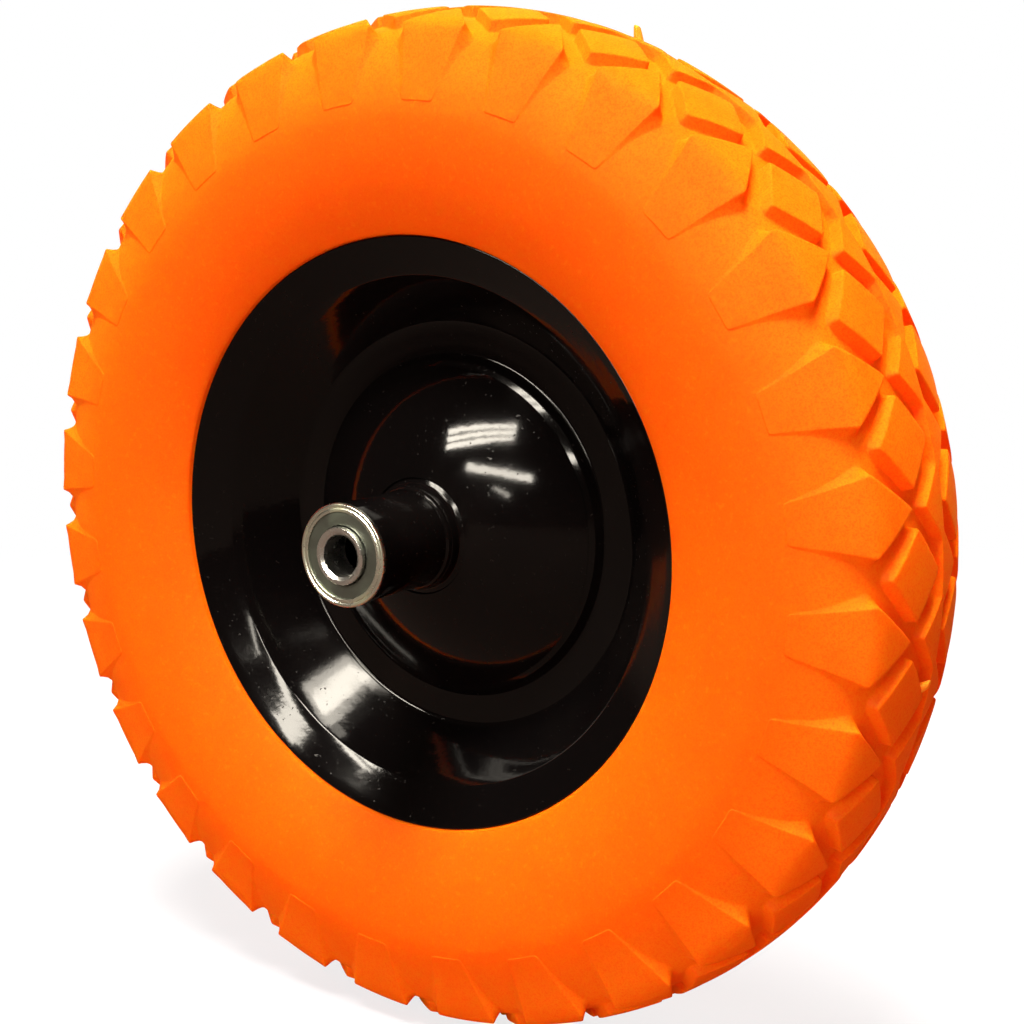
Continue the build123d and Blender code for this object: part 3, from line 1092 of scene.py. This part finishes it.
    @staticmethod
    def _height_at(x: float, w: float, outlines: list[list[Point]]) -> float:
        """1 inside a block top, 0 on the floor.

        Args:
            x: place along the unrolled tread.
            w: run across it.
            outlines: outlines of the block tops.

        Returns:
            The height share.
        """
        for outline in outlines:
            inside = False
            for i, (bx, by) in enumerate(outline):
                ax, ay = outline[i - 1]
                if (ay > w) != (by > w) and x < ax + (w - ay) * (bx - ax) / (by - ay):
                    inside = not inside
            if inside or w == 0.0:
                return 1.0
        return 0.0

    def _lifted(self, flat: Sequence[Vector], heights: Sequence[float], faces: Sequence) -> bpy.types.Object:
        """Wraps the unrolled quarter round the axle, at the top of the tyre, on the near side.

        Args:
            flat: points of the unrolled quarter.
            heights: their height shares.
            faces: its faces.

        Returns:
            The mesh object.
        """
        run = np.array([p[1] for p in flat])
        angle = np.radians(np.array([p[0] for p in flat]) / self.mm_per_deg)
        radius, y = self.section.place(run, np.array(heights))
        places = np.stack([radius * np.sin(angle), -y, radius * np.cos(angle)], 1) * MM
        made = new_object("tread_quarter", places, faces)
        self._face_up(made)
        return made

    @staticmethod
    def _face_up(piece: bpy.types.Object) -> None:
        """Flips the quarter if its faces look toward the axle.

        Args:
            piece: the quarter.
        """
        crown = max(piece.data.polygons, key=lambda face: face.center.z)
        if crown.normal.z < 0:
            piece.data.flip_normals()

    def build(self) -> bpy.types.Object:
        """Builds the whole tyre from the quarter.

        Returns:
            The tyre.
        """
        quarter = self.quarter()
        tyre = bpy.data.objects.new("tread_rule", bpy.data.meshes.new("tread_rule"))
        bpy.context.scene.collection.objects.link(tyre)
        modifier = tyre.modifiers.new("repeat", "NODES")
        modifier.node_group = self._repeat_tree(quarter)
        values = {"Pitches": self.pitches, "Start": math.radians(self.start_deg)}
        for item in modifier.node_group.interface.items_tree:
            if item.name in values and item.in_out == "INPUT":
                modifier[item.identifier] = values[item.name]
        evaluated = tyre.evaluated_get(bpy.context.evaluated_depsgraph_get())
        mesh = bpy.data.meshes.new_from_object(evaluated)
        mesh.name = "foam_tyre"
        made = bpy.data.objects.new("foam_tyre", mesh)
        bpy.context.scene.collection.objects.link(made)
        bpy.data.objects.remove(tyre)
        bpy.data.objects.remove(quarter)
        mesh.shade_smooth()
        return made

    def _repeat_tree(self, quarter: bpy.types.Object) -> bpy.types.NodeTree:
        """Node tree that mirrors the quarter, turns it over for the far side and repeats it round the axle.

        Args:
            quarter: the mesh of one quarter pitch.

        Returns:
            The tree, with inputs Pitches and Start.
        """
        tree = bpy.data.node_groups.new("tread_repeat", "GeometryNodeTree")
        face = tree.interface
        face.new_socket("Geometry", in_out="OUTPUT", socket_type="NodeSocketGeometry")
        face.new_socket("Pitches", in_out="INPUT", socket_type="NodeSocketInt")
        face.new_socket("Start", in_out="INPUT", socket_type="NodeSocketFloat")
        rule = Sheet(tree)
        given = rule.node("NodeGroupInput", {}, {})
        pitches = Signal(rule, given.outputs["Pitches"])
        start = Signal(rule, given.outputs["Start"])
        step = rule.add("ShaderNodeMath", {"operation": "DIVIDE"}, {0: 2 * math.pi, 1: pitches})
        cell = rule.add("GeometryNodeObjectInfo", {}, {"Object": quarter}, "Geometry")
        other = rule.add("GeometryNodeTransform", {}, {"Geometry": cell, "Scale": (-1.0, 1.0, 1.0)})
        other = rule.add("GeometryNodeFlipFaces", {}, {0: other})
        near = self._joined(rule, [cell, other])
        half_turn = rule.add("ShaderNodeCombineXYZ", {}, {"Y": step * 0.5})
        far = rule.add("GeometryNodeTransform", {}, {"Geometry": near, "Rotation": (0.0, 0.0, math.pi)})
        far = rule.add("GeometryNodeTransform", {}, {"Geometry": far, "Rotation": half_turn})
        pitch = self._joined(rule, [near, far])
        line = rule.add("GeometryNodeMeshLine", {}, {"Count": pitches, "Offset": (0.0, 0.0, 0.0)})
        index = rule.add("GeometryNodeInputIndex", {}, {})
        turn = rule.add("ShaderNodeCombineXYZ", {}, {"Y": index * step + start})
        spread = {"Points": line, "Instance": pitch, "Rotation": turn}
        copies = rule.add("GeometryNodeInstanceOnPoints", {}, spread)
        whole = rule.add("GeometryNodeRealizeInstances", {}, {0: copies})
        welded = {"Geometry": whole, "Distance": self.merge_distance}
        whole = rule.add("GeometryNodeMergeByDistance", {}, welded)
        dressed = rule.add("GeometryNodeSetMaterial", {}, {"Geometry": whole, "Material": FOAM.material()})
        rule.node("NodeGroupOutput", {}, {0: dressed})
        return tree

    @staticmethod
    def _joined(rule: Sheet, parts: Sequence[Signal]) -> Signal:
        """Joins geometries in a node tree.

        Args:
            rule: the node sheet.
            parts: the geometries.

        Returns:
            The joined geometry.
        """
        node = rule.node("GeometryNodeJoinGeometry", {}, {})
        for part in parts:
            rule.tree.links.new(part.socket, node.inputs[0])
        return Signal(rule, node.outputs[0])

    def dress(self) -> None:
        """Builds the tyre in place of its CAD node."""
        fit(self.build(), FOAM, "wheel", "tyre")


@dataclass(frozen=True)
class Nib:
    """Moulding nib left on the tread, sizes in mm, angle in degrees clockwise from the top."""

    name: str
    angle: float
    y: float
    height: float
    width: float
    lean: float
    sides: int = 14
    flatness: float = 0.8
    sharp_deg: float = 60.0

    def dress(self, section: TyreSection) -> None:
        """Builds the nib on the crown of the tyre.

        Args:
            section: the tyre's section.
        """
        foot = float(section.crown(self.y, section.depth * 0.5))
        turn = math.radians(self.angle)
        out = Vector((math.sin(turn), 0.0, math.cos(turn)))
        along = Vector((math.cos(turn), 0.0, -math.sin(turn)))
        rings = ((0.0, 1.35), (0.45, 1.1), (0.8, 0.9), (0.95, 0.75), (1.0, 0.45))
        vertices = []
        for share, spread in rings:
            middle = out * (foot + share * self.height) + along * (share * self.lean)
            for i in range(self.sides):
                angle = 2 * math.pi * i / self.sides
                arm = along * math.cos(angle) + Vector((0.0, self.flatness * math.sin(angle), 0.0))
                vertices.append((middle + Vector((0.0, self.y, 0.0)) + arm * (spread * self.width / 2)) * MM)
        last = (len(rings) - 1) * self.sides
        faces = [tuple(range(self.sides)), tuple(range(last, last + self.sides))]
        for ring in range(len(rings) - 1):
            for i in range(self.sides):
                j = (i + 1) % self.sides
                a, b = ring * self.sides, (ring + 1) * self.sides
                faces.append((a + i, a + j, b + j, b + i))
        made = new_object(self.name, vertices, faces)
        point_outward(made)
        made.data.set_sharp_from_angle(angle=math.radians(self.sharp_deg))
        fit(made, THIN_FOAM, "wheel")


# Rim and hub


@dataclass
class RimHalf:
    """Stamped half of the rim, sizes in mm with y outward from the middle plane."""

    side: Side
    flange: Point = (116.0, 34.0)
    seat: Point = (101.0, 25.5)
    well: Point = (82.0, 1.52)
    step_foot: Point = (69.5, 1.52)
    step_top: Point = (66.9, 4.92)
    dome_bulge: float = 3.2
    dome_steps: int = 20
    neck_root: Point = (20.58, 28.4)
    neck_end: float = 33.0
    back_neck: Point = (19.08, 27.353)
    back_step_top: Point = (65.86, 3.811)
    back_step_foot: Point = (68.759, 0.06)
    back_well: Point = (82.725, 0.06)
    back_seat: Point = (101.994, 24.339)
    back_flange: Point = (116.0, 32.276)
    bend: float = 3.0
    outer_bend: float = 4.5
    tight_bend: float = 1.5
    segments: int = 224
    longest_run: float = 5.0

    def corners(self) -> list[Corner]:
        """Section of the sheet, front face then back face.

        Returns:
            (radius, y, rounding) of each corner.
        """
        front = [
            (*self.flange, 0.5),
            (*self.seat, self.bend),
            (*self.well, self.bend),
            (*self.step_foot, self.tight_bend),
            (*self.step_top, self.tight_bend),
            *self._dome(self.step_top, self.neck_root),
            (*self.neck_root, self.tight_bend),
            (self.neck_root[0], self.neck_end, 0.2),
        ]
        back = [
            (self.back_neck[0], self.neck_end, 0.2),
            (*self.back_neck, self.bend),
            *self._dome(self.back_neck, self.back_step_top),
            (*self.back_step_top, 0.3),
            (*self.back_step_foot, self.bend),
            (*self.back_well, self.outer_bend),
            (*self.back_seat, self.tight_bend),
            (*self.back_flange, 0.4),
        ]
        return front + back

    def _dome(self, start: Point, end: Point) -> list[Corner]:
        """Points between the ends of the dome's arc.

        Args:
            start: where the arc starts.
            end: where it ends.

        Returns:
            Its inner points, without the ends.
        """
        a, b = Vector(start), Vector(end)
        chord = b - a
        outward = Vector((abs(chord.y), abs(chord.x))).normalized()
        radius = chord.length_squared / (8 * self.dome_bulge) + self.dome_bulge / 2
        centre = (a + b) / 2 + outward * (self.dome_bulge - radius)
        half = math.asin(chord.length / (2 * radius))
        sign = 1.0 if chord.x < 0 else -1.0
        made = []
        for i in range(1, self.dome_steps):
            turn = sign * half * (1 - 2 * i / self.dome_steps)
            made.append((*(centre + Matrix.Rotation(turn, 2) @ (outward * radius)), 0.0))
        return made

    def dress(self) -> None:
        """Builds the half in place of its CAD node."""
        name = f"{self.side.prefix}_rim_pressing"
        made = turned(name, self.corners(), self.side, self.segments, self.longest_run)
        fit(made, ENAMEL, "wheel", f"{self.side.prefix}_rim_half")


@dataclass
class Hub:
    """Tube and its two welds."""

    tube_radius: float = 19.05
    bore_radius: float = 17.46
    half_length: float = 72.2
    weld_start: float = 33.03
    weld_leg: float = 2.4
    weld_gap: float = 0.03
    weld_foot: float = 1.5
    weld_crown: Point = (1.0, 1.5)
    ripples: int = 34
    ripple_depth: float = 0.10
    segments: int = 128
    weld_segments: int = 160

    def dress(self) -> None:
        """Builds the tube and the welds in place of their CAD nodes."""
        end = self.half_length
        corners = [
            (self.tube_radius, end, 0.35),
            (self.tube_radius, -end, 0.35),
            (self.bore_radius, -end, 0.2),
            (self.bore_radius, end, 0.2),
        ]
        tube = turned("hub_tube_painted", corners, Side.FAR, self.segments, 6.0)
        fit(tube, ENAMEL, "wheel", "hub_tube")
        for side in Side:
            self._weld(side)

    def _weld(self, side: Side) -> None:
        """Builds one weld bead with its uneven ripple.

        Args:
            side: the face of the wheel it belongs to.
        """
        inner = self.tube_radius + self.weld_gap
        corners = [
            (inner, self.weld_start, 0.1),
            (inner + self.weld_foot, self.weld_start, 0.25),
            (inner + self.weld_crown[0], self.weld_start + self.weld_crown[1], 0.6),
            (inner, self.weld_start + self.weld_leg, 0.1),
        ]
        bead = turned(f"{side.prefix}_weld_bead", corners, side, self.weld_segments, 0.6)
        for vertex in bead.data.vertices:
            angle = math.atan2(vertex.co.x, vertex.co.z)
            out = math.hypot(vertex.co.x, vertex.co.z) / MM - inner
            beat = 0.5 + 0.5 * math.sin(self.ripples * angle + 2 * math.sin(3 * angle))
            place = inner + out * (1.0 - self.ripple_depth * out * beat)
            vertex.co.x = place * MM * math.sin(angle)
            vertex.co.z = place * MM * math.cos(angle)
        fit(bead, ENAMEL, "wheel", f"{side.prefix}_hub_weld")


@dataclass
class Bearing:
    """Flanged hub bearing of one side, sizes in mm with y outward."""

    side: Side
    face: float = 74.2
    housing_bore: float = 16.24
    housing_outer: float = 17.44
    flange_radius: float = 19.47
    flange_thickness: float = 2.0
    lip_groove_radius: float = 17.87
    lip_groove: float = 0.35
    housing_length: float = 11.4
    shelf_radius: float = 14.99
    shelf_thickness: float = 1.2
    bore_radius: float = 7.94
    bore_chamfer: Point = (1.3, 0.9)
    race_radius: float = 10.9
    race_proud: float = 1.5
    race_length: float = 13.2
    race_edge: float = 0.35
    ball_inset: float = 6.2
    path_depth: float = 0.28
    path_half: float = 1.0
    washer_inner: float = 11.3
    washer_front: float = 73.6
    washer_thickness: float = 0.8
    washer_gap: float = 0.02
    segments: int = 128

    def dress(self) -> None:
        """Builds the housing, the washer and the inner race in place of their CAD nodes."""
        prefix = self.side.prefix
        fit(self._housing(), ZINC, "wheel", f"{prefix}_bearing_housing")
        fit(self._washer(), PAINTED_SHADE_WASHER_ZINC, "wheel", f"{prefix}_dust_washer")
        fit(self._race(), RACE_STEEL, f"{prefix}_inner", f"{prefix}_inner_race")

    def dress_nodes(self, nodes: dict[str, bpy.types.Object]) -> None:
        """Gives the hidden CAD pieces their finishes.

        Args:
            nodes: the frame's objects by node name.
        """
        for name, finish in (("outer_race", RACE_STEEL), ("balls", BALL_STEEL), ("ball_cage", CAGE_STEEL)):
            finish.dress(nodes[f"{self.side.prefix}_{name}"])

    def _housing(self) -> bpy.types.Object:
        """Pressed cup with its rolled flange.

        Returns:
            The piece.
        """
        front = self.face
        seat = front - self.flange_thickness
        back = seat - self.housing_length
        groove = self.lip_groove_radius
        depth = self.lip_groove
        corners = [
            (self.housing_bore, front, 0.3),
            (groove - 0.5, front, 0.25),
            (groove, front - depth, 0.15),
            (groove + 0.5, front, 0.25),
            (self.flange_radius, front, 0.7),
            (self.flange_radius, seat, 0.3),
            (self.housing_outer, seat, 0.1),
            (self.housing_outer, back, 0.8),
            (self.shelf_radius, back, 0.1),
            (self.shelf_radius, back + self.shelf_thickness, 0.1),
            (self.housing_bore, back + self.shelf_thickness, 0.1),
        ]
        return turned(f"{self.side.prefix}_bearing_cup", corners, self.side, self.segments, 3.0)

    def _washer(self) -> bpy.types.Object:
        """Flat ring in the mouth of the cup.

        Returns:
            The piece.
        """
        front = self.washer_front
        back = front - self.washer_thickness
        outer = self.housing_bore - self.washer_gap
        corners = [
            (self.washer_inner, back, 0.05),
            (outer, back, 0.05),
            (outer, front, 0.12),
            (self.washer_inner, front, 0.15),
        ]
        return turned(f"{self.side.prefix}_dust_ring", corners, self.side, self.segments, 2.0)

    def _race(self) -> bpy.types.Object:
        """Turned sleeve with its chamfered bore and the ball path round it.

        Returns:
            The piece.
        """
        end = self.face + self.race_proud
        start = end - self.race_length
        path_y = self.face - self.ball_inset
        corners = [
            (self.bore_radius, start, 0.1),
            (self.race_radius, start, 0.1),
            (self.race_radius, path_y - self.path_half, 0.05),
            (self.race_radius - self.path_depth, path_y, self.path_half),
            (self.race_radius, path_y + self.path_half, 0.05),
            (self.race_radius, end - self.race_edge, 0.2),
            (self.race_radius - self.race_edge, end, 0.2),
            (self.bore_radius + self.bore_chamfer[0], end, 0.15),
            (self.bore_radius, end - self.bore_chamfer[1], 0.15),
        ]
        return turned(f"{self.side.prefix}_race_sleeve", corners, self.side, self.segments, 3.0)


# Studio


class Shows(Enum):
    """What a lamp lights."""

    LIGHT = "surfaces"
    GLOSS = "reflections"


@dataclass(frozen=True)
class Lamp:
    """One area lamp, placed by azimuth and elevation in degrees and distance in metres from the hub."""

    name: str
    azimuth: float
    elevation: float
    distance: float
    size: Point
    radiance: float
    shows: Shows
    roll: float = 0.0


ROW_DISTANCE = 2.2
SOFT_LAMPS = (
    Lamp("key", 16.0, 74.0, 4.0, (1.5, 1.5), 50.0, Shows.LIGHT),
    Lamp("fill", 2.0, 8.0, 4.0, (2.2, 2.2), 4.9, Shows.LIGHT),
    Lamp("back_fill", 186.0, 18.0, 4.0, (2.2, 2.2), 5.0, Shows.LIGHT),
)
SKYLIGHTS = (
    Lamp("skylight", 27.0, 62.0, 2.2, (0.40, 0.20), 40.0, Shows.GLOSS, -24.0),
    Lamp("skylight_glow", 25.0, 61.0, 2.25, (0.72, 0.32), 26.0, Shows.GLOSS, -24.0),
    Lamp("skylight_edge", 21.0, 62.0, 2.3, (1.05, 0.20), 12.0, Shows.GLOSS, -24.0),
)
CEILING_ROWS = (
    *(
        Lamp(f"row_a{i}", -11.0 + i, 41.0 - 3.1 * i, ROW_DISTANCE, (1.25, 0.085), 78.0, Shows.GLOSS, 17.0)
        for i in range(3)
    ),
    Lamp("row_b", 6.0, 22.5, ROW_DISTANCE, (1.25, 0.13), 62.0, Shows.GLOSS, -6.0),
    Lamp("row_c", 9.0, 13.7, ROW_DISTANCE, (0.34, 0.05), 40.0, Shows.GLOSS, -25.0),
)


def direction(azimuth: float, elevation: float) -> Vector:
    """Direction from the hub, azimuth from the near face and elevation in radians."""
    level = math.cos(elevation)
    return Vector((math.sin(azimuth) * level, -math.cos(azimuth) * level, math.sin(elevation)))


@dataclass
class Studio:
    """Pale floor, soft lamps, white surroundings and the camera at the photo's angle.

    Angles are in radians; every length is in metres but the sensor's, which is in mm.
    """

    azimuth: float = math.radians(34.05)
    elevation: float = math.radians(10.02)
    shift_right: float = -0.0212
    shift_up: float = -0.0054
    distance: float = 0.6859
    focal_px: float = 1700.0
    picture_px: float = 1024.0
    floor_drop: float = 0.0006
    floor_reach: float = 9.0
    floor_white: Colour = rgb(0.90, 0.90, 0.90)
    floor_bounce: Colour = rgb(0.30, 0.105, 0.08)
    floor_sheen: Colour = rgb(0.12, 0.092, 0.072)
    shadow_span: Point = (0.25, 1.1)
    shadow_share: float = 0.22
    behind_span: Point = (0.3, 2.0)
    sky_span: Point = (0.15, 0.75)
    sensor: float = 36.0
    ambient: float = 0.33
    dim_room: float = 0.05
    room_tint: Colour = rgb(1.0, 0.72, 0.55)
    ambient_tint: Colour = rgb(1.0, 0.59, 0.45)
    row_tint: Triple = (1.0, 0.93, 0.80)

    def build(self, lowest: float) -> None:
        """Builds the camera, the floor, the surroundings and the lamps.

        Args:
            lowest: the wheel's lowest point in metres.
        """
        self._camera()
        self._floor(lowest - self.floor_drop)
        self._world()
        for lamp in (*SOFT_LAMPS, *SKYLIGHTS, *CEILING_ROWS):
            self._lamp(lamp)

    def _axes(self) -> tuple[Vector, Vector, Vector]:
        """The camera's right, up and back directions.

        Returns:
            The three unit vectors.
        """
        back = direction(self.azimuth, self.elevation)
        right = Vector((math.cos(self.azimuth), math.sin(self.azimuth), 0.0))
        return right, back.cross(right), back

    def _camera(self) -> None:
        """Camera at the photo's place."""
        right, up, back = self._axes()
        data = bpy.data.cameras.new("photo_camera")
        data.sensor_width = self.sensor
        data.lens = self.sensor * self.focal_px / self.picture_px
        camera = bpy.data.objects.new("photo_camera", data)
        bpy.context.scene.collection.objects.link(camera)
        place = back * self.distance - right * self.shift_right - up * self.shift_up
        camera.matrix_world = Matrix.Translation(place) @ Matrix((right, up, back)).transposed().to_4x4()
        bpy.context.scene.camera = camera

    def _floor(self, height: float) -> None:
        """Wide pale floor, white to the camera, that keeps a soft shadow near the wheel.

        Args:
            height: its height in metres.
        """
        reach = self.floor_reach
        corners = [(x * reach, y * reach, height) for x, y in ((-1, -1), (1, -1), (1, 1), (-1, 1))]
        floor = new_object("studio_floor", corners, [(0, 1, 2, 3)], smooth=False)
        made = bpy.data.materials.new("studio_floor_paper")
        made.use_nodes = True
        sheet = Sheet(made.node_tree)
        camera, mirrored = self._seen(sheet)
        place = sheet.place()
        away = sheet.distance(place).step(*self.shadow_span)
        behind = sheet.part(place, 1).step(*self.behind_span)
        tone = sheet.blend(camera, self.floor_bounce, self.floor_white)
        tone = sheet.blend(mirrored, tone, self.floor_sheen)
        paper = sheet.node("ShaderNodeBsdfDiffuse", {}, {"Color": tone})
        glow = sheet.node("ShaderNodeEmission", {}, {"Color": rgb(1.0, 1.0, 1.0), "Strength": 1.0})
        share = camera * (1.0 - self.shadow_share + away * self.shadow_share) + mirrored * behind
        mix = sheet.node("ShaderNodeMixShader", {}, {0: share})
        sheet.tree.links.new(paper.outputs[0], mix.inputs[1])
        sheet.tree.links.new(glow.outputs[0], mix.inputs[2])
        out = sheet.node("ShaderNodeOutputMaterial", {}, {})
        sheet.tree.links.new(mix.outputs[0], out.inputs["Surface"])
        floor.data.materials.append(made)

    @staticmethod
    def _seen(sheet: Sheet) -> tuple[Signal, Signal]:
        """Masks of the rays from the camera, and of those from gloss and glass.

        Args:
            sheet: the node sheet.

        Returns:
            Both masks.
        """
        path = sheet.node("ShaderNodeLightPath", {}, {})
        camera, glossy, through = (
            Signal(sheet, path.outputs[name])
            for name in ("Is Camera Ray", "Is Glossy Ray", "Is Transmission Ray")
        )
        return camera, glossy + through

    def _world(self) -> None:
        """White to the camera, a warm room on the wheel, and in gloss white behind it and dim before it."""
        world = bpy.data.worlds.new("studio_room")
        world.use_nodes = True
        bpy.context.scene.world = world
        sheet = Sheet(world.node_tree)
        camera, mirrored = self._seen(sheet)
        toward = sheet.add("ShaderNodeTexCoord", {}, {}, "Generated")
        behind = sheet.part(toward, 1).step(*self.sky_span)
        shine = behind + (1.0 - behind) * self.dim_room
        strength = camera + mirrored * shine + (1.0 - camera - mirrored) * self.ambient
        tint = sheet.blend(mirrored, self.ambient_tint, self.room_tint)
        tint = sheet.blend(camera + mirrored * behind, tint, rgb(1.0, 1.0, 1.0))
        sky = sheet.node("ShaderNodeBackground", {}, {"Color": tint, "Strength": strength})
        out = sheet.node("ShaderNodeOutputWorld", {}, {})
        sheet.tree.links.new(sky.outputs[0], out.inputs["Surface"])

    def _lamp(self, lamp: Lamp) -> None:
        """Adds one area lamp aimed at the hub.

        Args:
            lamp: where it hangs, its size and what it lights.
        """
        data = bpy.data.lights.new(lamp.name, "AREA")
        data.shape = "RECTANGLE"
        data.size, data.size_y = lamp.size
        data.energy = lamp.radiance * math.pi * lamp.size[0] * lamp.size[1]
        data.color = (1.0, 1.0, 1.0) if lamp.shows is Shows.LIGHT else self.row_tint
        made = bpy.data.objects.new(lamp.name, data)
        bpy.context.scene.collection.objects.link(made)
        made.visible_diffuse = lamp.shows is Shows.LIGHT
        made.visible_glossy = lamp.shows is Shows.GLOSS
        aim = direction(math.radians(lamp.azimuth), math.radians(lamp.elevation))
        place = aim * lamp.distance
        roll = Matrix.Rotation(math.radians(lamp.roll), 3, "Z")
        turn = (-place).to_track_quat("-Z", "Y").to_matrix() @ roll
        made.matrix_world = Matrix.Translation(place) @ turn.to_4x4()


NIBS = (
    Nib("upper_nib", 22.5, 8.0, 6.3, 3.6, -3.8),
    Nib("lower_nib", 100.4, -6.0, 4.0, 4.0, -3.8),
)


def main() -> None:
    """Builds the looks in order round the CAD frame."""
    logging.basicConfig(level=logging.INFO, format="%(name)s %(message)s")
    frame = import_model()
    scene = bpy.context.scene
    scene.view_settings.view_transform = "Standard"
    low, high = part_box("tyre")
    Studio().build(low.z)
    tyre = Tyre(TyreSection(radius=high.z / MM - BOX_GAP))
    tyre.dress()
    for nib in NIBS:
        nib.dress(tyre.section)
    Hub().dress()
    for side in Side:
        RimHalf(side).dress()
        bearing = Bearing(side)
        bearing.dress()
        bearing.dress_nodes(frame["nodes"])


if __name__ == "__main__":
    main()
